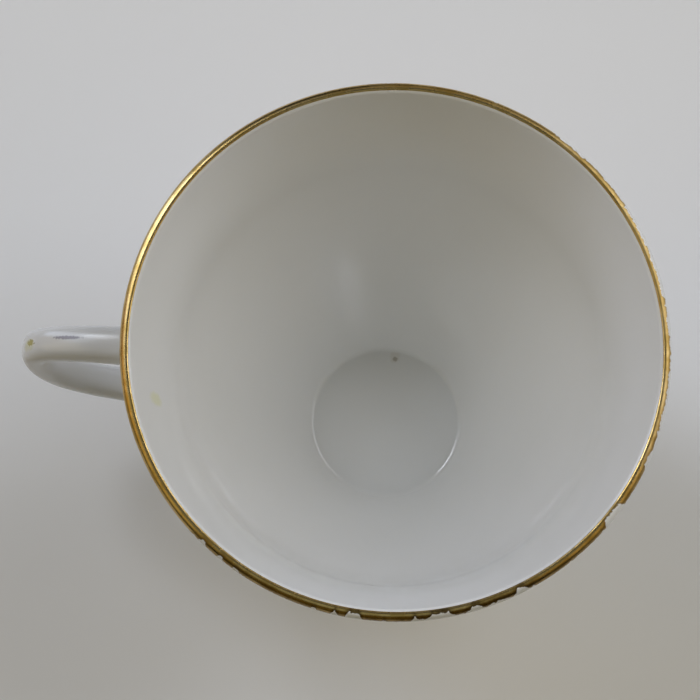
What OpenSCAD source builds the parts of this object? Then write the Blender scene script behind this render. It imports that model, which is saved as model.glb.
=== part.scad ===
// Porcelain cup with a flared lip, a gilt rim and one loop handle.
// Millimetres, +Z up. The origin is the centre of the foot's standing face,
// and the handle points along -X.

/* [Bowl] */
// Diameter across the lip, over the gilding
rim_d = 84; // [70:1:101]
// Height from the standing face to the top of the lip
cup_h = 68; // [56:1:82]
// Thickness of the lip, under the gilding
lip_t = 1.8; // [1.5:0.05:2.2]
// Lean of the lip from the vertical, in degrees
lip_flare = 22; // [19:0.5:27]
// Depth of the waist below the lip: the wall is steepest there
waist_drop = 20; // [16:0.5:24]
// How far the waist stands in from the lip, measured inside
waist_in = 5.7; // [4.7:0.1:6.9]
// Lean of the wall at the waist, in degrees
waist_lean = 10; // [7:0.5:12]
// Thickness of the wall at the waist
wall_t = 2.3; // [1.8:0.1:2.8]
// Diameter of the flat well in the floor
well_d = 25.4; // [21:0.2:31]
// Radius of the fillet round the well
well_fillet = 1.3; // [0.8:0.1:1.8]
// How many degrees more the inside leans at the well than on average below the waist
well_turn = 8; // [5:1:18]
// Thickness of the floor
floor_t = 3.4; // [2.8:0.1:4.2]
// How many degrees more the outside leans at the foot than on average below the waist
base_turn = 8; // [5:1:16]

/* [Foot] */
// Diameter of the foot where it joins the bowl
foot_d = 33; // [27.5:0.5:40]
// Height of the foot
foot_h = 2.6; // [2:0.1:3.2]
// Width of the foot where it joins the bowl
foot_w = 3.2; // [2.6:0.1:4]
// How far each side of the foot draws in towards the standing face
foot_draft = 0.35; // [0.2:0.05:0.45]
// Radius of the foot's two lower edges
foot_edge = 0.6; // [0.4:0.05:0.75]

/* [Gilding] */
// Thickness of the gilding
gilt_t = 0.12; // [0.1:0.01:0.15]
// How far the gilding runs from the crown of the lip round towards the inside
gilt_in = 0.4; // [0.3:0.05:0.6]
// How far the gilding runs down outside, below the round of the lip
gilt_out = 1.5; // [1.2:0.1:2.2]

/* [Handle] */
// How far the handle stands out beyond the lip
handle_reach = 18; // [15:0.5:22]
// Depth of the upper joint's centre below the lip
handle_drop = 14.5; // [12:0.5:18]
// Height of the lower joint's centre above the standing face
handle_low = 20; // [16:0.5:24]
// Drop from the upper joint's centre to the outermost point of the loop
crown_drop = 10; // [8:0.5:12]
// Width of the strap at the crown
handle_w = 5.2; // [4.3:0.1:6.3]
// Thickness of the strap at the crown
handle_t = 4.6; // [3.8:0.1:5.6]
// Width of the strap at its two ends
end_w = 6.2; // [5.1:0.1:7.5]
// Thickness of the strap at its two ends
end_t = 5; // [4.1:0.1:6]
// How full the strap's section is: 1 is an oval, less is squarer
strap_full = 0.75; // [0.65:0.05:1]
// How square the top of the loop is: 0 is slack, 1 is a sharp corner
top_square = 0.93; // [0.75:0.01:0.98]
// How square the foot of the loop is
low_square = 0.86; // [0.7:0.01:0.95]
// How far the loop still falls over its last stretch to the lower joint
low_fall = 2.5; // [1.5:0.1:3.5]
// Length of the slip joint between the handle's end and the wall
slip_l = 2.2; // [1.8:0.1:2.7]
// How far the slip joint spreads over the wall, past the strap
slip_spread = 1.7; // [1.3:0.1:2.1]

/* [Hidden] */
$fn = 288;

// Steps in the curves of the profile and of the handle
LIP_BARE_STEPS = 4;
LIP_GILT_STEPS = 14;
FILLET_STEPS = 6;
UPPER_STEPS = 12;
LOWER_STEPS = 24;
STRAP_STEPS = 20;
STRAP_SIDES = 24;
SLIP_STEPS = 5;
// Turn of the slip joint's hollow curve before it goes straight on into the wall
SLIP_TURN = 65;
// Depth behind the wall's face of the point that closes a slip joint
SLIP_ROOT = 1.6;
// Share of a curve's tangent used where the wall changes from hollow to full
FLEX = 0.35;
// Share of the rise and fall at the crown that sets its roundness
CROWN_ROUND = 0.55;

// Points on one cubic curve, given by its four poles
function cubic(p, t) =
    pow(1 - t, 3) * p[0] + 3 * pow(1 - t, 2) * t * p[1] + 3 * (1 - t) * t * t * p[2] + pow(t, 3) * p[3];
function cubic_slope(p, t) =
    3 * (pow(1 - t, 2) * (p[1] - p[0]) + 2 * (1 - t) * t * (p[2] - p[1]) + t * t * (p[3] - p[2]));
function along(p, steps) = [for (i = [0:steps]) cubic(p, i / steps)];

// Points on an arc about c, from one angle to another
function arc(c, r, from, to, steps) =
    [for (i = [0:steps]) let (a = from + (to - from) * i / steps) c + r * [cos(a), sin(a)]];

// The list without its first point, for joining two runs that share it
function rest(list) = [for (i = [1:len(list) - 1]) list[i]];
function reversed(list) = [for (i = [len(list) - 1:-1:0]) list[i]];
function unit(v) = v / norm(v);

// Downward direction of a wall that leans out by this angle, and its outward normal
function down(lean) = [-sin(lean), -cos(lean)];
function outward(lean) = [cos(lean), -sin(lean)];

// Mean lean of a wall that falls from a to b
function mean_lean(a, b) = atan((a.x - b.x) / (a.y - b.y));

// Where the tangents at a and b cross
function crossing(a, da, b, db) =
    let (d = b - a)
    a + da * (d.x * db.y - d.y * db.x) / (da.x * db.y - da.y * db.x);

// Poles of a wall curve from a to b that follows the lean at each end.
// share_a and share_b say how far towards the tangents' crossing each pole stands.
function wall_curve(a, lean_a, b, lean_b, share_a, share_b) =
    let (x = crossing(a, down(lean_a), b, down(lean_b)))
    [a, a + share_a * (x - a), b + share_b * (x - b), b];

// Lip: a half round, bare on its inner side and gilt from there over the crown.
// The gilding goes on down a straight land outside.
rim_r = rim_d / 2;
lip_r = lip_t / 2;
lip_c = [rim_r - gilt_t - lip_r, cup_h - gilt_t - lip_r];
gilt_from = 90 + gilt_in / lip_r * 180 / PI;
lip_bare = arc(lip_c, lip_r, 180 - lip_flare, gilt_from, LIP_BARE_STEPS);
lip_gilt = arc(lip_c, lip_r, gilt_from, -lip_flare, LIP_GILT_STEPS);
land_out = lip_gilt[LIP_GILT_STEPS] + gilt_out * down(lip_flare);

// Inside of the wall, from the lip to the well
floor_z = foot_h + floor_t;
well_r = well_d / 2;
waist_inside = [rim_r - lip_t - waist_in, cup_h - waist_drop];
well_lean = mean_lean(waist_inside, [well_r, floor_z]) + well_turn;
fillet = arc([well_r, floor_z + well_fillet], well_fillet, -well_lean, -90, FILLET_STEPS);
inside_upper = wall_curve(lip_bare[0], lip_flare, waist_inside, waist_lean, 1, FLEX);
inside_lower = wall_curve(waist_inside, waist_lean, fillet[0], well_lean, FLEX, 1);
inside = concat(
    along(inside_upper, UPPER_STEPS),
    rest(along(inside_lower, LOWER_STEPS)),
    rest(fillet)
);

// Outside of the wall, from the lip to the foot
foot_r = foot_d / 2;
waist_outside = waist_inside + wall_t * outward(waist_lean);
base_lean = mean_lean(waist_outside, [foot_r, foot_h]) + base_turn;
outside_upper = wall_curve(land_out, lip_flare, waist_outside, waist_lean, 1, FLEX);
outside_lower = wall_curve(waist_outside, waist_lean, [foot_r, foot_h], base_lean, FLEX, 1);
outside = concat(along(outside_upper, UPPER_STEPS), rest(along(outside_lower, LOWER_STEPS)));

// Radius of the outside at a height
outside_by_z = [for (p = reversed(outside)) [p.y, p.x]];
function wall_r(z) = lookup(z, outside_by_z);

// The point of the outside, on the handle's side, that stands at this y and z
function on_wall(y, z) = [-sqrt(pow(wall_r(z), 2) - y * y), y, z];

// Centre line of the loop in the plane of the handle, as distance from the axis and height
joint_up_z = cup_h - handle_drop;
start_up = [wall_r(joint_up_z) + slip_l, joint_up_z];
start_low = [wall_r(handle_low) + slip_l, handle_low];
crown = [rim_r + handle_reach - handle_t / 2, joint_up_z - crown_drop];
loop_upper = [
    start_up,
    [start_up.x + top_square * (crown.x - start_up.x), start_up.y],
    [crown.x, crown.y + CROWN_ROUND * (start_up.y - crown.y)],
    crown
];
loop_lower = [
    crown,
    [crown.x, crown.y - CROWN_ROUND * (crown.y - start_low.y)],
    [start_low.x + low_square * (crown.x - start_low.x), start_low.y + low_fall],
    start_low
];

// Position and direction at s along the loop, from 0 at the upper end to 2 at the lower
function loop_at(s) = s <= 1 ? cubic(loop_upper, s) : cubic(loop_lower, s - 1);
function loop_heading(s) = unit(s <= 1 ? cubic_slope(loop_upper, s) : cubic_slope(loop_lower, s - 1));

// Share of the end size in the strap's section: all at the ends, none at the crown
function end_share(s) = pow(abs(s - 1), 3);
function strap_w(s) = handle_w + (end_w - handle_w) * end_share(s);
function strap_t(s) = handle_t + (end_t - handle_t) * end_share(s);

// The strap's rounded section at s, with its width across the handle's plane
function fuller(v) = sign(v) * pow(abs(v), strap_full);
function strap_angle(j) = 360 * j / STRAP_SIDES;
function strap_ring(s) =
    let (c = loop_at(s), d = loop_heading(s), half_w = strap_w(s) / 2, half_t = strap_t(s) / 2)
    [
        for (j = [0:STRAP_SIDES - 1])
            let (q = c + half_t * fuller(sin(strap_angle(j))) * [-d.y, d.x])
            [-q.x, half_w * fuller(cos(strap_angle(j))), q.y]
    ];

// One ring of a slip joint, about a joint centre at height z. It leaves the strap's end along
// the strap and turns, as a quarter of an ellipse does, to run out over the wall.
function slip_ring(end, z, turn, onward) =
    [
        for (e = end)
            let (
                spread = slip_spread * unit([e.y, e.z - z]),
                near = on_wall(e.y, e.z),
                far = on_wall(e.y + spread.x, e.z + spread.y)
            )
            e + (near - e) * (sin(turn) + onward * cos(turn))
              + (far - near) * (1 - cos(turn) + onward * sin(turn))
    ];

// A closed skin over rings of points, with the ends closed by a flat face or by a point
module skin(rings, tip) {
    sides = len(rings[0]);
    last = len(rings) - 1;
    tip_at = sides * len(rings);
    points = concat([for (r = rings) each r], is_undef(tip) ? [] : [tip]);
    walls = [
        for (i = [0:last - 1], j = [0:sides - 1])
            let (
                a = i * sides + j,
                b = i * sides + (j + 1) % sides,
                c = b + sides,
                d = a + sides
            )
            each [[a, b, c], [a, c, d]]
    ];
    start = [[for (j = [sides - 1:-1:0]) j]];
    end_face = [[for (j = [0:sides - 1]) last * sides + j]];
    end_tip = [for (j = [0:sides - 1]) [last * sides + j, last * sides + (j + 1) % sides, tip_at]];
    polyhedron(points, concat(walls, start, is_undef(tip) ? end_face : end_tip), convexity = 6);
}

// The solid form of the bowl's outside
module bowl_form() {
    rotate_extrude()
        polygon(concat([[0, land_out.y]], outside, [[0, foot_h]]));
}

module bowl() {
    color("whitesmoke")
        rotate_extrude()
            polygon(concat(
                [[0, foot_h], [0, floor_z]],
                reversed(inside),
                rest(lip_bare),
                rest(lip_gilt),
                outside
            ));
}

// Ring under the bowl: drawn in on both sides, with rounded lower edges and a flat standing face
module foot_ring() {
    foot_in = foot_r - foot_w;
    low_out = foot_r - foot_draft;
    low_in = foot_in + foot_draft;
    draft_angle = atan(foot_draft / foot_h);
    color("ivory")
        rotate_extrude()
            polygon(concat(
                [[foot_in, foot_h]],
                arc([low_in + foot_edge, foot_edge], foot_edge, 180 + draft_angle, 270, FILLET_STEPS),
                arc([low_out - foot_edge, foot_edge], foot_edge, 270, 360 - draft_angle, FILLET_STEPS),
                [[foot_r, foot_h]]
            ));
}

module handle() {
    color("white")
        skin([for (i = [0:2 * STRAP_STEPS]) strap_ring(i / STRAP_STEPS)]);
}

// Collar of slip between one end of the handle and the wall, cut to the wall's face
module slip_joint(end, z) {
    root = on_wall(0, z) + [SLIP_ROOT, 0, 0];
    rings = concat(
        [for (i = [0:SLIP_STEPS]) slip_ring(end, z, SLIP_TURN * i / SLIP_STEPS, 0)],
        [slip_ring(end, z, SLIP_TURN, 1)]
    );
    color("gainsboro")
        difference() {
            skin(rings, root);
            bowl_form();
        }
}

module upper_slip_joint() {
    slip_joint(reversed(strap_ring(0)), joint_up_z);
}

module lower_slip_joint() {
    slip_joint(strap_ring(2), handle_low);
}

// Thin band over the crown of the lip and the land outside
module rim_gilding() {
    outer_side = concat(
        arc(lip_c, lip_r + gilt_t, gilt_from, -lip_flare, LIP_GILT_STEPS),
        [land_out + gilt_t * outward(lip_flare)]
    );
    color("goldenrod")
        rotate_extrude()
            polygon(concat(lip_gilt, [land_out], reversed(outer_side)));
}

bowl();
foot_ring();
handle();
upper_slip_joint();
lower_slip_joint();
rim_gilding();
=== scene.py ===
"""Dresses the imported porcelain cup: clear glaze, worn gilding, a bare standing face and a plain studio.

Lengths are metres and angles degrees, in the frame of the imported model: +Z up, the standing face at
zero height, the handle towards -X.
"""
import logging
import math
from dataclasses import dataclass, field
from enum import Enum

import bpy
import numpy as np
from mathutils import Matrix, Vector


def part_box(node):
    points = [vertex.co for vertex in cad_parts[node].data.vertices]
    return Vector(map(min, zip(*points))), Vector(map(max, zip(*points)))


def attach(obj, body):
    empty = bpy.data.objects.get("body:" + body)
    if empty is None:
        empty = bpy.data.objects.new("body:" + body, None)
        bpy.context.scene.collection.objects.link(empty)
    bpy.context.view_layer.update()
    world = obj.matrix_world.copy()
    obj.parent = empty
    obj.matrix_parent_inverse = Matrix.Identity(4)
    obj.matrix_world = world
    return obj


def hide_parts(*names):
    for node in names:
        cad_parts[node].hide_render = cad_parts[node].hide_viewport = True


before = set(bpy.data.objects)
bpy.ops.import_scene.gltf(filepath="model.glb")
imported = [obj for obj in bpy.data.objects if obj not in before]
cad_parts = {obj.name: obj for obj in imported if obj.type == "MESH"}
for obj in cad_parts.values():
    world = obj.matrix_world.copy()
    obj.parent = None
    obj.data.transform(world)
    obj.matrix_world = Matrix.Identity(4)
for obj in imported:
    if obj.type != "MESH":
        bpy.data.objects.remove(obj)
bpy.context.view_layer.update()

MM = 0.001
BODY = "root"
SHARP_EDGE = math.radians(50)
NOISE_MEAN = 0.5

Array = np.ndarray
Colour = tuple[float, float, float]
Point = tuple[float, float, float]
Span = tuple[float, float]
log = logging.getLogger("cup")


class Slot(Enum):
    """The record's material slots."""

    PORCELAIN = "porcelain"
    BISCUIT = "biscuit"
    GILDING = "gilding"


def down(lean: float) -> Array:
    """Downward direction, as (radius, height), of a wall that leans out by this angle."""
    return np.array([-math.sin(math.radians(lean)), -math.cos(math.radians(lean))])


def outward(lean: float) -> Array:
    """Outward normal, as (radius, height), of a wall that leans out by this angle."""
    return np.array([math.cos(math.radians(lean)), -math.sin(math.radians(lean))])


def mean_lean(top: Array, foot: Array) -> float:
    """Lean of the straight line that falls from top to foot."""
    return math.degrees(math.atan2(top[0] - foot[0], top[1] - foot[1]))


def arc(centre: Array, radius: float, start: float, stop: float, steps: int) -> Array:
    """Points on a circle: the centre plus the radius times the cosine and sine of an even turn.

    Args:
        centre: Middle of the circle.
        radius: Its radius.
        start: Angle of the first point.
        stop: Angle of the last point.
        steps: Number of steps between them.

    Returns:
        The points, one more than the steps.
    """
    turn = np.radians(np.linspace(start, stop, steps + 1))
    return centre + radius * np.column_stack([np.cos(turn), np.sin(turn)])


def cubic(poles: Array, share: Array) -> Array:
    """Points on a cubic curve: its four poles weighted by the shares (1-t)^3, 3(1-t)^2 t, 3(1-t) t^2, t^3.

    Args:
        poles: The four poles.
        share: Values of t from 0 at the first pole to 1 at the last.

    Returns:
        One point for each share.
    """
    t = share[:, None]
    early = (1 - t) ** 3 * poles[0] + 3 * (1 - t) ** 2 * t * poles[1]
    return early + 3 * (1 - t) * t**2 * poles[2] + t**3 * poles[3]


def cubic_heading(poles: Array, share: Array) -> Array:
    """Unit directions along a cubic curve: the differences of its poles weighted by (1-t)^2, 2(1-t) t, t^2.

    Args:
        poles: The four poles.
        share: Values of t from 0 to 1.

    Returns:
        One direction for each share.
    """
    t = share[:, None]
    step = np.diff(poles, axis=0)
    slope = (1 - t) ** 2 * step[0] + 2 * (1 - t) * t * step[1] + t**2 * step[2]
    return slope / np.linalg.norm(slope, axis=1, keepdims=True)


def wall_poles(top: Array, top_lean: float, foot: Array, foot_lean: float, shares: Span) -> Array:
    """Poles of a wall curve that follows the lean at each end.

    The middle poles stand on the two end tangents, each its share of the way to where they cross.

    Args:
        top: Upper end of the curve.
        top_lean: Lean there.
        foot: Lower end of the curve.
        foot_lean: Lean there.
        shares: How far towards the crossing the upper and the lower pole stand.

    Returns:
        The four poles.
    """
    a, b, gap = down(top_lean), down(foot_lean), foot - top
    crossing = top + a * (gap[0] * b[1] - gap[1] * b[0]) / (a[0] * b[1] - a[1] * b[0])
    return np.array([top, top + shares[0] * (crossing - top), foot + shares[1] * (crossing - foot), foot])


def revolve(profile: Array, sides: int) -> Array:
    """Rings of a turned form: each (radius, height) point carried round the axis by its cosine and sine.

    Args:
        profile: The half profile.
        sides: Points in each ring.

    Returns:
        An array of rings by sides by 3.
    """
    turn = np.linspace(0, 2 * np.pi, sides, endpoint=False)
    radius, height = profile[:, :1], profile[:, 1:]
    return np.stack([radius * np.cos(turn), radius * np.sin(turn), height + 0 * turn], axis=-1)


def skin(name: str, rings: Array, tips: tuple[Array, Array] | None = None) -> bpy.types.Object:
    """A closed, smooth skin over rings of points, with its faces outward.

    Each ring closes on itself, and neighbouring rings are joined by four-sided faces. Two tips close the
    first and last ring as fans; without them the last ring joins the first.

    Args:
        name: Name of the piece.
        rings: An array of rings by sides by 3.
        tips: The points that close the two ends.

    Returns:
        The new object, which sits at the origin.
    """
    count, sides = rings.shape[:2]
    side = np.arange(sides)
    after = (side + 1) % sides
    ring = np.arange(count if tips is None else count - 1)[:, None] * sides
    onward = (ring + sides) % (count * sides)
    quads = np.stack([ring + side, ring + after, onward + after, onward + side], axis=-1).reshape(-1, 4)
    points = rings.reshape(-1, 3)
    fans = np.empty((0, 3), int)
    if tips is not None:
        last, tip = (count - 1) * sides, count * sides
        first_fan = np.stack([after, side, 0 * side + tip], axis=-1)
        last_fan = np.stack([last + side, last + after, 0 * side + tip + 1], axis=-1)
        fans = np.concatenate([first_fan, last_fan])
        points = np.concatenate([points, np.array(tips)])
    halves = np.concatenate([quads[:, [0, 1, 2]], quads[:, [0, 2, 3]], fans])
    corner = points[halves]
    if np.einsum("ij,ij->", corner[:, 0], np.cross(corner[:, 1], corner[:, 2])) < 0:
        quads, fans = quads[:, ::-1], fans[:, ::-1]
    mesh = bpy.data.meshes.new(name)
    mesh.from_pydata(points.tolist(), [], quads.tolist() + fans.tolist())
    mesh.polygons.foreach_set("use_smooth", np.ones(len(mesh.polygons), bool))
    mesh.set_sharp_from_angle(angle=SHARP_EDGE)
    mesh.update()
    piece = bpy.data.objects.new(name, mesh)
    bpy.context.scene.collection.objects.link(piece)
    return piece


def seat(piece: bpy.types.Object, node: str, slot: Slot, material: bpy.types.Material) -> None:
    """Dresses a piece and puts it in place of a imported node.

    Args:
        piece: The new piece.
        node: The node that it stands for.
        slot: The record's slot for its finish.
        material: Its finish.
    """
    piece.data.materials.append(material)
    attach(piece, BODY)
    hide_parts(node)
    log.info("%s: %d points for %s in %s", piece.name, len(piece.data.vertices), node, slot.value)


class Wire:
    """A shader socket that Python arithmetic works on, one Math node for each operation."""

    def __init__(self, sheet: "Sheet", socket: bpy.types.NodeSocket) -> None:
        """Keeps the socket and the sheet that it is on."""
        self.sheet = sheet
        self.socket = socket

    def _math(self, operation: str, first: "Wire | float", second: "Wire | float") -> "Wire":
        """Adds one Math node over two values."""
        return self.sheet.node("ShaderNodeMath", {"operation": operation}, {0: first, 1: second})

    def __add__(self, other: "Wire | float") -> "Wire":
        """Sum of this value and another."""
        return self._math("ADD", self, other)

    def __sub__(self, other: "Wire | float") -> "Wire":
        """This value less another."""
        return self._math("SUBTRACT", self, other)

    def __rsub__(self, other: "Wire | float") -> "Wire":
        """Another value less this one."""
        return self._math("SUBTRACT", other, self)

    def __mul__(self, other: "Wire | float") -> "Wire":
        """Product of this value and another."""
        return self._math("MULTIPLY", self, other)

    __radd__ = __add__
    __rmul__ = __mul__

    def smooth(self, low: float, high: float) -> "Wire":
        """A soft step: 0 where this value is low, 1 where it is high."""
        values = {"Value": self, "From Min": low, "From Max": high}
        return self.sheet.node("ShaderNodeMapRange", {"interpolation_type": "SMOOTHSTEP"}, values)


Value = Wire | float | tuple[float, ...]


class Sheet:
    """The node sheet of one finish."""

    MIX_FACTOR, MIX_FIRST, MIX_SECOND, MIX_COLOUR = 0, 6, 7, 2

    def __init__(self, tree: bpy.types.NodeTree) -> None:
        """Starts from an empty sheet."""
        self.tree = tree
        self.tree.nodes.clear()

    def node(
        self,
        kind: str,
        settings: dict[str, object],
        values: dict[str | int, Value],
        output: str | int = 0,
    ) -> Wire:
        """Adds one node.

        Args:
            kind: The node's type.
            settings: Its properties, which are set first.
            values: What its sockets hold or are linked to, by name or number.
            output: The socket that the result is taken from.

        Returns:
            That socket, or the node's first input where it has no outputs.
        """
        made = self.tree.nodes.new(kind)
        for key, setting in settings.items():
            setattr(made, key, setting)
        for key, value in values.items():
            if isinstance(value, Wire):
                self.tree.links.new(value.socket, made.inputs[key])
            elif made.inputs[key].type == "RGBA":
                made.inputs[key].default_value = (*value, 1.0)
            else:
                made.inputs[key].default_value = value
        return Wire(self, made.outputs[output] if made.outputs else made.inputs[0])

    def place(self) -> Wire:
        """Object coordinates."""
        return self.node("ShaderNodeTexCoord", {}, {}, "Object")

    def held(self, name: str) -> Wire:
        """A value that the mesh holds on its points, by its attribute's name."""
        return self.node("ShaderNodeAttribute", {"attribute_name": name}, {}, "Fac")

    def axis(self, name: str) -> Wire:
        """One of the Object coordinates, by its axis."""
        return self.node("ShaderNodeSeparateXYZ", {}, {"Vector": self.place()}, name)

    def noise(self, scale: float, detail: float = 2.0) -> Wire:
        """Noise from 0 to 1, with this many features to the metre."""
        values = {"Vector": self.place(), "Scale": scale, "Detail": detail}
        return self.node("ShaderNodeTexNoise", {}, values, "Fac")

    def blend(self, factor: Wire, first: Wire | Colour, second: Wire | Colour) -> Wire:
        """A colour that goes from the first to the second with the factor."""
        values = {self.MIX_FACTOR: factor, self.MIX_FIRST: first, self.MIX_SECOND: second}
        return self.node("ShaderNodeMix", {"data_type": "RGBA"}, values, self.MIX_COLOUR)

    def reach(self, centre: Point, stretch: Point) -> Wire:
        """Distance from a point, with each axis stretched by its own share.

        Args:
            centre: The point.
            stretch: What each axis is multiplied by.

        Returns:
            The distance in metres.
        """
        moved = self.node("ShaderNodeVectorMath", {"operation": "SUBTRACT"}, {0: self.place(), 1: centre})
        scaled = self.node("ShaderNodeVectorMath", {"operation": "MULTIPLY"}, {0: moved, 1: stretch})
        return self.node("ShaderNodeVectorMath", {"operation": "LENGTH"}, {0: scaled}, "Value")

    def bump(self, height: Wire, depth: float) -> Wire:
        """A normal from a height of 0 to 1 that stands for this depth."""
        return self.node("ShaderNodeBump", {}, {"Height": height, "Distance": depth}, "Normal")

    def surface(self, values: dict[str | int, Value]) -> None:
        """Ends the sheet in a Principled shader with these sockets."""
        shader = self.node("ShaderNodeBsdfPrincipled", {}, values)
        self.node("ShaderNodeOutputMaterial", {}, {"Surface": shader})


def new_finish(name: str) -> tuple[bpy.types.Material, Sheet]:
    """Starts a finish.

    Args:
        name: Name of the material.

    Returns:
        A new material and its empty sheet.
    """
    material = bpy.data.materials.new(name)
    material.use_nodes = True
    return material, Sheet(material.node_tree)


@dataclass(frozen=True)
class Mark:
    """A small tinted mark or trace on the glaze: full within its core, with an edge that noise breaks up.

    The core and the ragged edge are shares of the radius. The waves are the noise's features to a radius.
    """

    place: Point
    radius: float
    tint: Colour
    strength: float
    stretch: Point = (1.0, 1.0, 1.0)
    ragged: float = 0.3
    core: float = 0.45
    waves: float = 1.2


@dataclass(frozen=True)
class Gold:
    """Fired gilding: its colours where it is full, deep and thin, and a gloss that rubbing dulls. The thin
    colour also serves as painted shade on the near side.
    """

    full: Colour = (0.62, 0.45, 0.19)
    deep: Colour = (0.47, 0.31, 0.09)
    # Dark colour of thin, rubbed gilding; on the near side it is also painted shade.
    thin: Colour = (0.15, 0.095, 0.037)
    gloss: float = 0.20
    dull: float = 0.14
    rubbed: float = 0.2


@dataclass(frozen=True)
class Porcelain:
    """White porcelain under a clear glaze, which lies in a faint ripple and holds a few iron specks."""

    body: Colour = (0.82, 0.82, 0.81)
    shade: Colour = (0.80, 0.80, 0.785)
    iron: Colour = (0.32, 0.26, 0.20)
    gloss: float = 0.06
    dull: float = 0.05
    index: float = 1.6
    cloud_per_m: float = 38.0
    cloud_range: Span = (0.35, 0.75)
    dull_per_m: float = 228.0
    ripple_per_m: float = 85.0
    ripple_depth: float = 0.035 * MM
    speck_per_m: float = 210.0
    speck_range: Span = (0.014, 0.035)
    speck_chance: Span = (0.93, 0.94)
    speck_strength: float = 0.6
    trace_metal: float = 0.9

    def colour(self, sheet: Sheet) -> Wire:
        """Body colour with slow clouds of shade, and specks in a few cells of a cell pattern.

        Args:
            sheet: The sheet to add to.

        Returns:
            The colour.
        """
        cloud = sheet.noise(self.cloud_per_m, detail=3.0)
        base = sheet.blend(cloud.smooth(*self.cloud_range), self.body, self.shade)
        cells = {"Vector": sheet.place(), "Scale": self.speck_per_m}
        near = sheet.node("ShaderNodeTexVoronoi", {}, cells, "Distance")
        chance = sheet.node("ShaderNodeTexVoronoi", {}, cells, "Color")
        chosen = sheet.node("ShaderNodeSeparateColor", {}, {"Color": chance}, "Red")
        speck = (1 - near.smooth(*self.speck_range)) * chosen.smooth(*self.speck_chance)
        return sheet.blend(speck * self.speck_strength, base, self.iron)

    def roughness(self, sheet: Sheet) -> Wire:
        """Gloss that is a little duller in patches."""
        return self.gloss + self.dull * sheet.noise(self.dull_per_m, detail=4.0)

    def relief(self, sheet: Sheet) -> Wire:
        """The glaze's slow ripple, as a normal."""
        return sheet.bump(sheet.noise(self.ripple_per_m, detail=1.0), self.ripple_depth)

    def material(self, name: str, tint_marks: tuple[Mark, ...], traces: tuple[Mark, ...]) -> bpy.types.Material:
        """The finish with its tint marks and its traces of gilding.

        Args:
            name: Name of the material.
            tint_marks: Marks that only tint the glaze.
            traces: Marks where gilding is left.

        Returns:
            The material.
        """
        material, sheet = new_finish(name)
        colour = self.colour(sheet)
        for tint_mark in tint_marks:
            colour = sheet.blend(self.spread(sheet, tint_mark), colour, tint_mark.tint)
        values: dict[str | int, Value] = {
            "Roughness": self.roughness(sheet),
            "Normal": self.relief(sheet),
            "IOR": self.index,
        }
        for trace in traces:
            left = self.spread(sheet, trace)
            colour = sheet.blend(left, colour, trace.tint)
            values["Metallic"] = left * self.trace_metal
        values["Base Color"] = colour
        sheet.surface(values)
        return material

    @staticmethod
    def spread(sheet: Sheet, mark: Mark) -> Wire:
        """How strongly a mark covers a place: full at its middle, with an edge broken by noise.

        Args:
            sheet: The sheet to add to.
            mark: The mark.

        Returns:
            A share from 0 to the mark's strength.
        """
        wave = sheet.noise(mark.waves / mark.radius, detail=3.0) - NOISE_MEAN
        reach = sheet.reach(mark.place, mark.stretch) + wave * (2 * mark.ragged * mark.radius)
        return (1 - reach.smooth(mark.core * mark.radius, mark.radius)) * mark.strength


@dataclass(frozen=True)
class WornGilding:
    """Gilding that has been rubbed off where the wear field is positive, and rubbed thin beside it.

    Thin gilding is painted dark where the near-shade field is full, as painted shade on the side towards
    the near lip. Where that field is empty it is paler, and scuffed dull.
    """

    gold: Gold = Gold()
    bare: Porcelain = Porcelain()
    wear_name: str = "wear_mm"
    streak_name: str = "across_mm"
    # Field that paints thin gilding dark towards the near side as painted shade, and the small share of
    # that darkening away from it.
    shade_name: str = "near_shade"
    unshaded_thin: float = 0.2
    ragged_mm: float = 0.8
    edge_mm: float = 0.05
    thin_mm: float = 1.1
    grain_per_m: float = 1900.0
    grain_relief: float = 0.5
    patch_per_m: float = 480.0
    patch_range: Span = (0.3, 0.7)
    streak_per_mm: float = 14.0
    streak_depth: float = 0.004 * MM

    def material(self, name: str) -> bpy.types.Material:
        """Gold and bare glaze, mixed by the wear field with a ragged edge between them.

        Args:
            name: Name of the material.

        Returns:
            The material.
        """
        material, sheet = new_finish(name)
        grain = sheet.noise(self.grain_per_m, detail=4.0) - NOISE_MEAN
        patch = sheet.noise(self.patch_per_m)
        worn = sheet.held(self.wear_name) + self.ragged_mm * (grain + patch - NOISE_MEAN)
        bare = worn.smooth(-self.edge_mm, self.edge_mm)
        thin = worn.smooth(-self.thin_mm, 0.0)
        # Painted shade: thin gilding goes to the dark thin colour in full on the near side, and by a small
        # share elsewhere.
        near_shade = sheet.held(self.shade_name)
        thin_and_shade = thin * (self.unshaded_thin + (1 - self.unshaded_thin) * near_shade)
        tone = sheet.blend(patch.smooth(*self.patch_range), self.gold.full, self.gold.deep)
        gold = sheet.blend(thin_and_shade, tone, self.gold.thin)
        gloss = self.gold.gloss + self.gold.dull * sheet.noise(self.patch_per_m, detail=3.0)
        dull = gloss + self.gold.rubbed * (thin * (1 - near_shade))
        across = {"W": sheet.held(self.streak_name), "Scale": self.streak_per_mm}
        streak = sheet.node("ShaderNodeTexNoise", {"noise_dimensions": "1D"}, across, "Fac")
        sheet.surface(
            {
                "Base Color": sheet.blend(bare, gold, self.bare.colour(sheet)),
                "Metallic": 1 - bare,
                "Roughness": dull * (1 - bare) + (self.bare.gloss + self.bare.dull) * bare,
                "Normal": sheet.bump(streak + self.grain_relief * grain, self.streak_depth),
            }
        )
        return material


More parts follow.
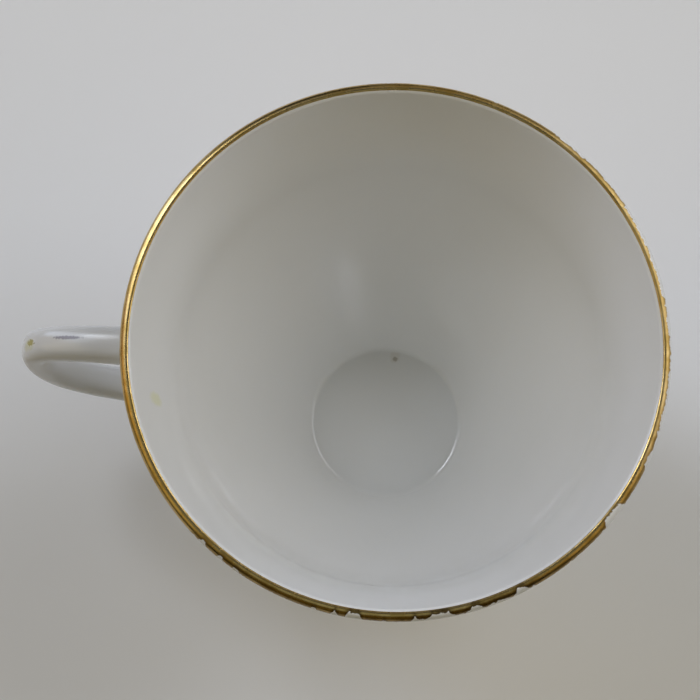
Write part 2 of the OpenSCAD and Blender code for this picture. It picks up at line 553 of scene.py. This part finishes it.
@dataclass(frozen=True)
class FootFinish:
    """Glaze on the sides of the foot, and bare, dry porcelain with kiln grit on its standing face."""

    glaze: Porcelain = Porcelain()
    dry: Colour = (0.70, 0.67, 0.61)
    grime: Colour = (0.36, 0.32, 0.27)
    dry_below: float = 0.42 * MM
    glaze_above: float = 0.58 * MM
    ragged: float = 0.35 * MM
    line_per_m: float = 700.0
    grit_per_m: float = 2600.0
    grit_depth: float = 0.02 * MM
    grime_range: Span = (0.52, 0.72)
    grime_share: float = 0.8
    dry_gloss: float = 0.75

    def material(self, name: str) -> bpy.types.Material:
        """Bare below a ragged line near the standing face, and glazed above it.

        Args:
            name: Name of the material.

        Returns:
            The material.
        """
        material, sheet = new_finish(name)
        line = sheet.axis("Z") + self.ragged * (sheet.noise(self.line_per_m, detail=3.0) - NOISE_MEAN)
        glazed = line.smooth(self.dry_below, self.glaze_above)
        grit = sheet.noise(self.grit_per_m, detail=6.0)
        dry = sheet.blend(grit.smooth(*self.grime_range) * self.grime_share, self.dry, self.grime)
        sheet.surface(
            {
                "Base Color": sheet.blend(glazed, dry, self.glaze.colour(sheet)),
                "Roughness": self.dry_gloss * (1 - glazed) + (self.glaze.gloss + self.glaze.dull) * glazed,
                "Normal": sheet.bump(grit * (1 - glazed), self.grit_depth),
            }
        )
        return material


@dataclass
class TurnedForm:
    """Sizes of the turned cup, and its half profile as (radius, height) points."""

    rim_r: float
    height: float
    foot_r: float
    foot_h: float
    gilt_t: float = 0.12 * MM
    gilt_in: float = 0.4 * MM
    gilt_out: float = 1.5 * MM
    lip_t: float = 1.8 * MM
    lip_flare: float = 22.0
    waist_drop: float = 20 * MM
    waist_in: float = 5.7 * MM
    waist_lean: float = 10.0
    wall_t: float = 2.3 * MM
    well_r: float = 12.7 * MM
    well_fillet: float = 1.3 * MM
    well_turn: float = 8.0
    floor_t: float = 3.4 * MM
    base_turn: float = 8.0
    flex: float = 0.35
    lip_steps: int = 24
    upper_steps: int = 28
    lower_steps: int = 56
    fillet_steps: int = 12

    @classmethod
    def from_frame(cls) -> "TurnedForm":
        """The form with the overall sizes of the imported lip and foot."""
        lip_top, foot_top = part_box("rim_gilding")[1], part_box("foot_ring")[1]
        return cls(max(lip_top.x, lip_top.y), lip_top.z, max(foot_top.x, foot_top.y), foot_top.z)

    @property
    def lip_r(self) -> float:
        """Radius of the lip's half round, under the gilding."""
        return self.lip_t / 2

    @property
    def lip_centre(self) -> Array:
        """Middle of the lip's half round."""
        inset = self.gilt_t + self.lip_r
        return np.array([self.rim_r - inset, self.height - inset])

    @property
    def gilt_start(self) -> float:
        """Angle about the lip's centre where the gilding starts, on the inside."""
        return 90 + math.degrees(self.gilt_in / self.lip_r)

    @property
    def floor_z(self) -> float:
        """Height of the well's floor."""
        return self.foot_h + self.floor_t

    @property
    def waist(self) -> Array:
        """The steepest point of the inside."""
        return np.array([self.rim_r - self.lip_t - self.waist_in, self.height - self.waist_drop])

    def lip(self, start: float, stop: float, steps: int, lift: float = 0.0) -> Array:
        """Points on the lip's half round between two angles, lifted off it by a distance."""
        return arc(self.lip_centre, self.lip_r + lift, start, stop, steps)

    def inside(self) -> Array:
        """The inside, from the lip's inner edge down two wall curves and a fillet to the well's floor.

        Returns:
            The points from the lip down.
        """
        top = self.lip(180 - self.lip_flare, 90, 1)[0]
        corner = np.array([self.well_r, self.floor_z])
        lean = mean_lean(self.waist, corner) + self.well_turn
        lift = np.array([0, self.well_fillet])
        fillet = arc(corner + lift, self.well_fillet, -lean, -90, self.fillet_steps)
        return self.wall(top, self.waist, fillet[0], lean, fillet[1:])

    def land_end(self) -> Array:
        """Lower end of the straight land outside the lip, where the gilding stops."""
        return self.lip(0, -self.lip_flare, 1)[1] + self.gilt_out * down(self.lip_flare)

    def outside(self) -> Array:
        """The outside, from the end of the gilt land down two wall curves to the foot.

        Returns:
            The points from the land down.
        """
        foot = np.array([self.foot_r, self.foot_h])
        waist = self.waist + self.wall_t * outward(self.waist_lean)
        lean = mean_lean(waist, foot) + self.base_turn
        return self.wall(self.land_end(), waist, foot, lean, np.empty((0, 2)))

    def wall(self, top: Array, waist: Array, foot: Array, foot_lean: float, after: Array) -> Array:
        """One face of the wall: a curve from the lip to the waist, and one from there on to the foot.

        Args:
            top: End of the lip.
            waist: Point where the wall is steepest.
            foot: Lower end.
            foot_lean: Lean there.
            after: Points that follow the lower end.

        Returns:
            The points from the top down.
        """
        upper = wall_poles(top, self.lip_flare, waist, self.waist_lean, (1, self.flex))
        lower = wall_poles(waist, self.waist_lean, foot, foot_lean, (self.flex, 1))
        upper_run = cubic(upper, np.linspace(0, 1, self.upper_steps + 1))
        lower_run = cubic(lower, np.linspace(0, 1, self.lower_steps + 1))
        return np.concatenate([upper_run, lower_run[1:], after])

    def on_wall(self, y: Array, z: Array) -> Array:
        """Points of the outside, on the handle's side, that stand at these y and z.

        Args:
            y: Distances from the handle's plane.
            z: Heights.

        Returns:
            The points, with x from the wall's radius at that height.
        """
        face = self.outside()[::-1]
        radius = np.interp(z, face[:, 1], face[:, 0])
        return np.stack([-np.sqrt(radius**2 - y**2), y, z], axis=-1)


@dataclass
class Bowl:
    """The bowl: well, wall and lip in one turned piece, with a shallow dome under the floor."""

    form: TurnedForm
    sides: int = 288
    floor_rings: int = 10
    dome: float = 0.5 * MM
    dome_r: float = 13.3 * MM

    def profile(self) -> Array:
        """The half profile from beside the axis in the well, over the lip, and back under the floor.

        Returns:
            The profile's points, without the two on the axis.
        """
        form = self.form
        rise = np.linspace(0, 1, self.floor_rings + 1)[1:-1]
        floor = np.column_stack([rise * form.well_r, 0 * rise + form.floor_z])
        lip = form.lip(180 - form.lip_flare, -form.lip_flare, form.lip_steps)
        fall = rise[::-1]
        under = np.column_stack([fall * self.dome_r, form.foot_h + self.dome * (1 - fall**2)])
        edge = np.array([[self.dome_r, form.foot_h]])
        return np.concatenate([floor, form.inside()[::-1], lip[1:], form.outside(), edge, under])

    def build(self, finish: bpy.types.Material) -> bpy.types.Object:
        """Turns the profile about the axis and closes it there at the well and under the floor.

        Args:
            finish: The bowl's material.

        Returns:
            The bowl.
        """
        form = self.form
        tips = (np.array([0, 0, form.floor_z]), np.array([0, 0, form.foot_h + self.dome]))
        piece = skin("bowl_skin", revolve(self.profile(), self.sides), tips)
        seat(piece, "bowl", Slot.PORCELAIN, finish)
        return piece


@dataclass
class FootRing:
    """The ring that the bowl stands on, with glaze gathered in the two corners under the bowl."""

    form: TurnedForm
    width: float = 3.2 * MM
    draft: float = 0.35 * MM
    edge: float = 0.6 * MM
    gather: float = 0.8 * MM
    sides: int = 192
    corner_steps: int = 10

    def gathered(self, corner: Array, along: Array, side: Array) -> Array:
        """Hollow glaze in a corner: a curve that leaves one face and runs into the other.

        Each middle pole of the cubic stands two thirds of the way from its end to the corner.

        Args:
            corner: The corner's point.
            along: Unit direction of the first face away from it.
            side: Unit direction of the second face away from it.

        Returns:
            Points from the first face to the second.
        """
        ends = corner + self.gather * along, corner + self.gather * side
        poles = np.array([ends[0], (ends[0] + 2 * corner) / 3, (ends[1] + 2 * corner) / 3, ends[1]])
        return cubic(poles, np.linspace(0, 1, self.corner_steps + 1))

    def profile(self) -> Array:
        """The ring's section: down its outer side, over its face's rounded edges and up its inner side.

        Returns:
            The section's points, with a hollow of glaze at each end and a flat top inside the bowl's floor.
        """
        form = self.form
        slope = math.degrees(math.atan2(self.draft, form.foot_h))
        outer, inner = form.foot_r, form.foot_r - self.width
        face = form.outside()
        wall = (face[-2] - face[-1]) / np.linalg.norm(face[-2] - face[-1])
        out_corner, in_corner = np.array([outer, form.foot_h]), np.array([inner, form.foot_h])
        fall_out, fall_in = np.array([-self.draft, -form.foot_h]), np.array([self.draft, -form.foot_h])
        length = math.hypot(self.draft, form.foot_h)
        low_out = np.array([outer - self.draft - self.edge, self.edge])
        low_in = np.array([inner + self.draft + self.edge, self.edge])
        return np.concatenate(
            [
                self.gathered(out_corner, wall, fall_out / length),
                arc(low_out, self.edge, -slope, -90, self.corner_steps),
                arc(low_in, self.edge, -90, -180 + slope, self.corner_steps),
                self.gathered(in_corner, fall_in / length, np.array([-1.0, 0.0])),
                [[inner - self.gather, form.foot_h + self.gather], [outer, form.foot_h + self.gather]],
            ]
        )

    def build(self, finish: bpy.types.Material) -> bpy.types.Object:
        """Turns the section about the axis into a closed ring.

        Args:
            finish: The ring's material.

        Returns:
            The ring.
        """
        piece = skin("foot_ring_skin", revolve(self.profile(), self.sides))
        seat(piece, "foot_ring", Slot.BISCUIT, finish)
        return piece


@dataclass(frozen=True)
class WornStretch:
    """A rubbed stretch of lip: from and to round the axis, and how far outside the crown gilding ends."""

    start: float
    stop: float
    ends_mm: float


@dataclass
class RimGilding:
    """The band of gilding over the lip, with its wear and a painted near-side shade held as fields on its
    points.
    """

    form: TurnedForm
    sides: int = 720
    round_steps: int = 36
    land_steps: int = 12
    taper: float = 0.25 * MM
    sunk: float = 0.05 * MM
    sound_ends_mm: float = 2.7
    lower_band_mm: float = 2.2
    ramp: float = 0.8
    # Middle and half width, round the axis, of the painted shade on the near side of the gilding.
    shade_middle: float = -80.0
    shade_half: float = 92.0
    stretches: tuple[WornStretch, ...] = (
        WornStretch(-134, 58, 1.3),
        WornStretch(-24, 58, 0.8),
        WornStretch(-84, -56, 0.95),
        WornStretch(93, 100, 0.95),
        WornStretch(71, 72.5, 0.35),
        WornStretch(48.5, 56.5, 0.55),
        WornStretch(41.5, 44, 0.55),
        WornStretch(13.5, 36.5, 0.45),
        WornStretch(5, 13.5, 0.55),
        WornStretch(-16.5, -1, 0.55),
        WornStretch(-23.5, -18.5, 0.5),
        WornStretch(-38, -31.5, 0.1),
        WornStretch(-39.5, -38.5, 0.55),
        WornStretch(-48.5, -47.5, 0.65),
        WornStretch(-61.5, -58, 0.3),
        WornStretch(-65.5, -64.5, 0.7),
        WornStretch(-71.5, -68, 0.4),
        WornStretch(-80, -74.5, 0.25),
        WornStretch(-83.5, -81.5, 0.4),
        WornStretch(-89.5, -88, 0.5),
        WornStretch(-97, -93, 0.3),
        WornStretch(-100, -98, 0.4),
        WornStretch(-104, -102.5, 0.5),
        WornStretch(-122.2, -119.8, 0.7),
        WornStretch(-126.2, -123.8, 0.65),
        WornStretch(-131, -128.4, 0.6),
        WornStretch(-132.5, -131.5, 0.55),
    )

    def section(self) -> tuple[Array, Array]:
        """The band's section: over the lip, down the land and back beneath, raised but for its edges.

        Returns:
            The section's points, and how far each stands outward of the lip's crown, in millimetres.
        """
        form = self.form
        shape = form.lip(form.gilt_start, -form.lip_flare, self.round_steps)
        turn = np.radians(np.linspace(form.gilt_start, -form.lip_flare, self.round_steps + 1))
        normal = np.column_stack([np.cos(turn), np.sin(turn)])
        out = form.lip_r * (np.pi / 2 - turn)
        run = np.linspace(0, form.gilt_out, self.land_steps + 1)[1:]
        land = shape[-1] + run[:, None] * down(form.lip_flare)
        shape = np.concatenate([shape, land])
        normal = np.concatenate([normal, np.tile(outward(form.lip_flare), (self.land_steps, 1))])
        out = np.concatenate([out, out[-1] + run])
        rise = np.clip(np.minimum(out - out[0], out[-1] - out) / self.taper, 0, 1)
        lift = form.gilt_t * np.sqrt(rise * (2 - rise)) - self.sunk * (rise == 0)
        over = shape + lift[:, None] * normal
        beneath = (shape - self.sunk * normal)[-2:0:-1]
        return np.concatenate([over, beneath]), np.concatenate([out, out[-2:0:-1]]) / MM

    def wear(self, turn: Array, out_mm: Array) -> Array:
        """Signed wear in millimetres: how far a point stands outside the local end of the gilding.

        Below a band that the wear has not reached, the distance up to that band takes its place.

        Args:
            turn: Angles round the axis.
            out_mm: Distances outward of the lip's crown.

        Returns:
            An array of distances by angles, positive where the gilding is gone.
        """
        ends = np.full_like(turn, self.sound_ends_mm)
        for worn in self.stretches:
            middle, half = (worn.start + worn.stop) / 2, (worn.stop - worn.start) / 2
            off = np.abs((turn - middle + 180) % 360 - 180)
            share = np.clip((half + self.ramp - off) / (2 * self.ramp), 0, 1)
            ends = np.minimum(ends, self.sound_ends_mm + (worn.ends_mm - self.sound_ends_mm) * share)
        outside = out_mm[:, None]
        return np.minimum(outside - ends, self.lower_band_mm - outside)

    def near_shade(self, turn: Array) -> Array:
        """Share of painted shade in the rubbed gilding, full on the near side: a squared cosine of the turn
        away from the near side.

        Args:
            turn: Angles round the axis.

        Returns:
            One share for each angle, which falls to 0 at the edge of the shaded side.
        """
        off = np.abs((turn - self.shade_middle + 180) % 360 - 180)
        return np.cos(np.pi / 2 * np.clip(off / self.shade_half, 0, 1)) ** 2

    def build(self, finish: WornGilding) -> bpy.types.Object:
        """Turns the section about the axis, and writes its wear, place across and painted near-side shade
        on its points.

        Args:
            finish: The gilding's finish, which names those fields.

        Returns:
            The band.
        """
        section, out_mm = self.section()
        piece = skin("rim_gilding_skin", revolve(section, self.sides))
        turn = np.linspace(0, 360, self.sides, endpoint=False)
        flat = np.zeros((len(out_mm), self.sides))
        fields = {
            finish.wear_name: self.wear(turn, out_mm),
            finish.streak_name: flat + out_mm[:, None],
            finish.shade_name: flat + self.near_shade(turn),
        }
        for name, values in fields.items():
            attribute = piece.data.attributes.new(name, "FLOAT", "POINT")
            attribute.data.foreach_set("value", values.astype(np.float32).ravel())
        seat(piece, "rim_gilding", Slot.GILDING, finish.material("worn_gilding"))
        return piece


@dataclass
class LoopHandle:
    """The loop handle, a strap of rounded section, and the two collars of slip that join it to the wall."""

    form: TurnedForm
    reach: float
    upper_drop: float = 14.5 * MM
    lower_z: float = 20 * MM
    crown_drop: float = 10 * MM
    width: float = 5.2 * MM
    thickness: float = 4.6 * MM
    end_width: float = 6.2 * MM
    end_thickness: float = 5 * MM
    fullness: float = 0.75
    end_growth: int = 3
    top_square: float = 0.93
    low_square: float = 0.86
    low_fall: float = 2.5 * MM
    crown_round: float = 0.55
    slip_length: float = 2.2 * MM
    slip_spread: float = 1.7 * MM
    slip_sunk: float = 0.03 * MM
    slip_root: float = 1.2 * MM
    strap_steps: int = 72
    strap_sides: int = 72
    slip_steps: int = 18
    poles: tuple[Array, Array] = field(init=False)

    def __post_init__(self) -> None:
        """Sets out the poles of the two curves of the loop, as distance from the axis and height."""
        upper_z = self.form.height - self.upper_drop
        ends = self.form.on_wall(np.zeros(2), np.array([upper_z, self.lower_z]))
        top, low = [np.array([self.slip_length - end[0], end[2]]) for end in ends]
        crown = np.array([self.reach - self.thickness / 2, upper_z - self.crown_drop])
        self.poles = (
            np.array(
                [
                    top,
                    [top[0] + self.top_square * (crown[0] - top[0]), top[1]],
                    [crown[0], crown[1] + self.crown_round * (top[1] - crown[1])],
                    crown,
                ]
            ),
            np.array(
                [
                    crown,
                    [crown[0], crown[1] - self.crown_round * (crown[1] - low[1])],
                    [low[0] + self.low_square * (crown[0] - low[0]), low[1] + self.low_fall],
                    low,
                ]
            ),
        )

    def strap(self) -> Array:
        """Rounded rings along the loop: the centre line, plus a cosine across and a sine along its normal.

        Each wave is raised to a power below one, which squares the section. The section grows from the
        crown to each end with a power of the distance along the curve.

        Returns:
            An array of rings by sides by 3, from the upper end to the lower.
        """
        share = np.linspace(0, 1, self.strap_steps + 1)
        upper, lower = self.poles
        centre = np.concatenate([cubic(upper, share), cubic(lower, share)[1:]])
        heading = np.concatenate([cubic_heading(upper, share), cubic_heading(lower, share)[1:]])
        toward_end = np.abs(np.linspace(-1, 1, len(centre)))[:, None] ** self.end_growth
        half_w = (self.width + (self.end_width - self.width) * toward_end) / 2
        half_t = (self.thickness + (self.end_thickness - self.thickness) * toward_end) / 2
        turn = np.linspace(0, 2 * np.pi, self.strap_sides, endpoint=False)
        waves = np.stack([np.cos(turn), np.sin(turn)])
        across, along = np.sign(waves) * np.abs(waves) ** self.fullness
        out = centre[:, :1] - half_t * along * heading[:, 1:]
        up = centre[:, 1:] + half_t * along * heading[:, :1]
        return np.stack([-out, half_w * across, up], axis=-1)

    def slip(self, end: Array, joint_z: float) -> tuple[Array, Array]:
        """A collar of slip that runs on from the strap's end and spreads along the wall.

        Each point of the end follows a quarter of an ellipse: the way on to the wall times the sine of the
        turn, plus the way along the wall times one less its cosine.

        Args:
            end: The strap's end ring.
            joint_z: Height of the joint's centre.

        Returns:
            The collar's rings from the strap to the wall, and the point behind the wall that closes it.
        """
        y, z = end[:, 1], end[:, 2]
        spread = np.column_stack([y, z - joint_z])
        spread *= self.slip_spread / np.linalg.norm(spread, axis=1, keepdims=True)
        near = self.form.on_wall(y, z)
        far = self.form.on_wall(y + spread[:, 0], z + spread[:, 1])
        turn = np.linspace(0, np.pi / 2, self.slip_steps + 1)[:, None, None]
        rings = end + (near - end) * np.sin(turn) + (far - near) * (1 - np.cos(turn))
        rings[-1] += [self.slip_sunk, 0, 0]
        root = self.form.on_wall(np.zeros(1), np.full(1, joint_z))[0] + [self.slip_root, 0, 0]
        return rings, root

    def build(self, finish: bpy.types.Material) -> list[bpy.types.Object]:
        """Builds the strap and its two collars.

        Args:
            finish: Their material.

        Returns:
            The strap and the collars.
        """
        rings = self.strap()
        pieces = [skin("handle_skin", rings, (rings[0].mean(axis=0), rings[-1].mean(axis=0)))]
        seat(pieces[0], "handle", Slot.PORCELAIN, finish)
        joints = {
            "upper_slip_joint": (rings[0], self.form.height - self.upper_drop),
            "lower_slip_joint": (rings[-1], self.lower_z),
        }
        for node, (end, joint_z) in joints.items():
            collar, root = self.slip(end, joint_z)
            piece = skin(node + "_skin", collar, (end.mean(axis=0), root))
            seat(piece, node, Slot.PORCELAIN, finish)
            pieces.append(piece)
        return pieces


@dataclass(frozen=True)
class Softbox:
    """A flat soft light: where it stands about the cup, its width and height, its power and its colour."""

    name: str
    elevation: float
    azimuth: float
    width: float
    height: float
    watts: float
    colour: Colour = (0.94, 0.96, 1.0)


@dataclass
class Studio:
    """A plain pale floor, soft boxes all round, and a camera that looks steeply down over the near lip."""

    target: Point = (0.0, 0.0, 0.04)
    box_distance: float = 1.2
    floor_r: float = 1.5
    floor_fade: float = 1.1
    floor_depth: float = 1 * MM
    floor_rings: int = 8
    floor_sides: int = 96
    floor_colour: Colour = (0.85, 0.85, 0.85)
    floor_gloss: float = 0.55
    floor_dull: float = 0.1
    mottle_per_m: float = 25.0
    mottle_shade: float = 0.985
    backdrop: Colour = (0.50, 0.50, 0.50)
    camera_place: Point = (-5.0 * MM, -75.8 * MM, 392.9 * MM)
    camera_aim: Point = (-7.1 * MM, 6.3 * MM, 34.0 * MM)
    camera_roll: float = 2.5
    camera_lens_mm: float = 113.1
    camera_sensor_mm: float = 36.0
    camera_clip: float = 10 * MM
    boxes: tuple[Softbox, ...] = (
        Softbox("back_left_window", 33, 305, 0.45, 1.15, 5.2, (0.71, 0.8, 1.0)),
        Softbox("back_left_lamp", 57, 318, 0.25, 0.3, 1.55, (0.9, 0.93, 1.0)),
        Softbox("left_window", 27, 278, 0.6, 1.1, 0.7, (1.0, 0.6, 0.25)),
        Softbox("back_right_window", 36, 55, 0.8, 1.1, 5.95, (0.89, 0.92, 1.0)),
        Softbox("back_right_lamp", 57, 54, 0.5, 0.12, 0.55),
        Softbox("right_pane", 25, 86, 0.35, 0.7, 0.45),
        Softbox("back_window", 36, 15, 0.7, 1.0, 0.5, (1.0, 0.86, 0.55)),
        Softbox("front_right", 40, 104, 0.8, 1.0, 1.3, (1.0, 0.76, 0.3)),
        Softbox("front_left", 40, 256, 0.8, 1.0, 1.35, (1.0, 0.82, 0.36)),
        Softbox("front", 30, 180, 1.4, 1.0, 0.45, (1.0, 0.7, 0.1)),
        Softbox("ceiling", 74, 180, 0.8, 0.7, 0.6, (0.9, 1.0, 0.9)),
    )

    def add_boxes(self) -> None:
        """Hangs the soft boxes round the target, azimuth 0 behind the cup and 90 at its right."""
        target = Vector(self.target)
        for box in self.boxes:
            level, turn = math.radians(box.elevation), math.radians(box.azimuth)
            flat = math.cos(level)
            away = Vector((flat * math.sin(turn), flat * math.cos(turn), math.sin(level)))
            light = bpy.data.lights.new(box.name, "AREA")
            light.shape = "RECTANGLE"
            light.size, light.size_y = box.width, box.height
            light.energy, light.color = box.watts, box.colour
            lamp = bpy.data.objects.new(box.name, light)
            lamp.location = target + self.box_distance * away
            lamp.rotation_euler = (-away).to_track_quat("-Z", "Y").to_euler()
            lamp.visible_camera = False
            bpy.context.scene.collection.objects.link(lamp)

    def add_floor(self) -> None:
        """Lays a round floor, matt and faintly mottled, that fades out into the backdrop."""
        run = np.linspace(0, self.floor_r, self.floor_rings + 1)[1:]
        rings = revolve(np.column_stack([run, 0 * run]), self.floor_sides)
        under = np.array([0, 0, -self.floor_depth])
        floor = skin("floor", np.concatenate([rings, rings[-1:] + under]), (np.zeros(3), under))
        material, sheet = new_finish("pale_floor")
        mottle = sheet.noise(self.mottle_per_m, detail=4.0)
        dark = tuple(self.mottle_shade * channel for channel in self.floor_colour)
        away = sheet.reach((0.0, 0.0, 0.0), (1.0, 1.0, 0.0))
        sheet.surface(
            {
                "Base Color": sheet.blend(mottle, self.floor_colour, dark),
                "Roughness": self.floor_gloss + self.floor_dull * mottle,
                "Alpha": 1 - away.smooth(self.floor_fade, self.floor_r),
            }
        )
        floor.data.materials.append(material)

    def add_backdrop(self) -> None:
        """Shows a pale backdrop behind the floor that sheds no light of its own."""
        world = bpy.data.worlds.new("studio")
        world.use_nodes = True
        sheet = Sheet(world.node_tree)
        seen = sheet.node("ShaderNodeLightPath", {}, {}, "Is Camera Ray")
        shown = sheet.node("ShaderNodeBackground", {}, {"Color": self.backdrop, "Strength": seen})
        sheet.node("ShaderNodeOutputWorld", {}, {"Surface": shown})
        bpy.context.scene.world = world

    def add_camera(self) -> None:
        """Sets up the camera: it looks from its place to its aim, rolled a little about that line."""
        place = Vector(self.camera_place)
        ahead = (Vector(self.camera_aim) - place).normalized()
        level = ahead.cross(Vector((0, 0, 1))).normalized()
        roll = math.radians(self.camera_roll)
        right = math.cos(roll) * level + math.sin(roll) * level.cross(ahead)
        axes = Matrix((right, right.cross(ahead), -ahead)).transposed()
        camera = bpy.data.cameras.new("photo_camera")
        camera.lens, camera.sensor_width = self.camera_lens_mm, self.camera_sensor_mm
        camera.clip_start = self.camera_clip
        rig = bpy.data.objects.new("photo_camera", camera)
        rig.matrix_world = Matrix.Translation(place) @ axes.to_4x4()
        bpy.context.scene.collection.objects.link(rig)
        bpy.context.scene.camera = rig

    def build(self) -> None:
        """Sets the stage."""
        self.add_camera()
        self.add_boxes()
        self.add_floor()
        self.add_backdrop()
        bpy.context.scene.view_settings.view_transform = "Standard"
        log.info("studio: %d soft boxes", len(self.boxes))


WELL_SPECK = Mark((0.97 * MM, 11.6 * MM, 6.0 * MM), 0.55 * MM, (0.26, 0.23, 0.16), 0.9)
WELL_HALO = Mark((0.9 * MM, 11.9 * MM, 6.0 * MM), 1.2 * MM, (0.70, 0.67, 0.61), 0.5, ragged=0.5)
LIP_SMUDGE = Mark((-36.2 * MM, -9.5 * MM, 60.4 * MM), 1.45 * MM, (0.77, 0.77, 0.56), 0.9, (1.0, 1.0, 0.39))
# A dark grey streak tinted into the glaze along the top of the strap's upper arm.
STRAP_STREAK = Mark(
    (-51.6 * MM, 0.45 * MM, 54.4 * MM), 0.38 * MM, (0.20, 0.18, 0.20), 0.9, (0.12, 1.0, 0.12), ragged=0.5
)
CROWN_HALO = Mark(
    (-58.2 * MM, -0.3 * MM, 50.4 * MM), 1.3 * MM, (0.60, 0.58, 0.36), 0.7, (0.7, 1.0, 0.7), ragged=0.5
)
CROWN_GILT = Mark(
    (-57.9 * MM, 0.0 * MM, 50.9 * MM), 0.7 * MM, (0.42, 0.37, 0.09), 0.8, (0.6, 1.0, 0.6), ragged=0.9
)
BOWL_GLAZE = Porcelain()
# Painted shade: the handle has the bowl's glaze with a darker body, standing in for the light that the cup
# keeps off the handle; its duller gloss is its own.
SHADED_HANDLE_GLAZE = Porcelain(body=(0.69, 0.69, 0.68), shade=(0.67, 0.67, 0.655), gloss=0.17, dull=0.1)


def main() -> None:
    """Builds the cup's pieces in order, then the studio."""
    logging.basicConfig(level=logging.INFO, format="%(message)s")
    form = TurnedForm.from_frame()
    Bowl(form).build(BOWL_GLAZE.material("glazed_porcelain", (WELL_SPECK, WELL_HALO, LIP_SMUDGE), ()))
    FootRing(form).build(FootFinish().material("foot_biscuit"))
    handle = LoopHandle(form, reach=-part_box("handle")[0].x)
    handle.build(SHADED_HANDLE_GLAZE.material("handle_porcelain_painted_shade", (STRAP_STREAK, CROWN_HALO), (CROWN_GILT,)))
    RimGilding(form).build(WornGilding())
    Studio().build()


if __name__ == "__main__":
    main()
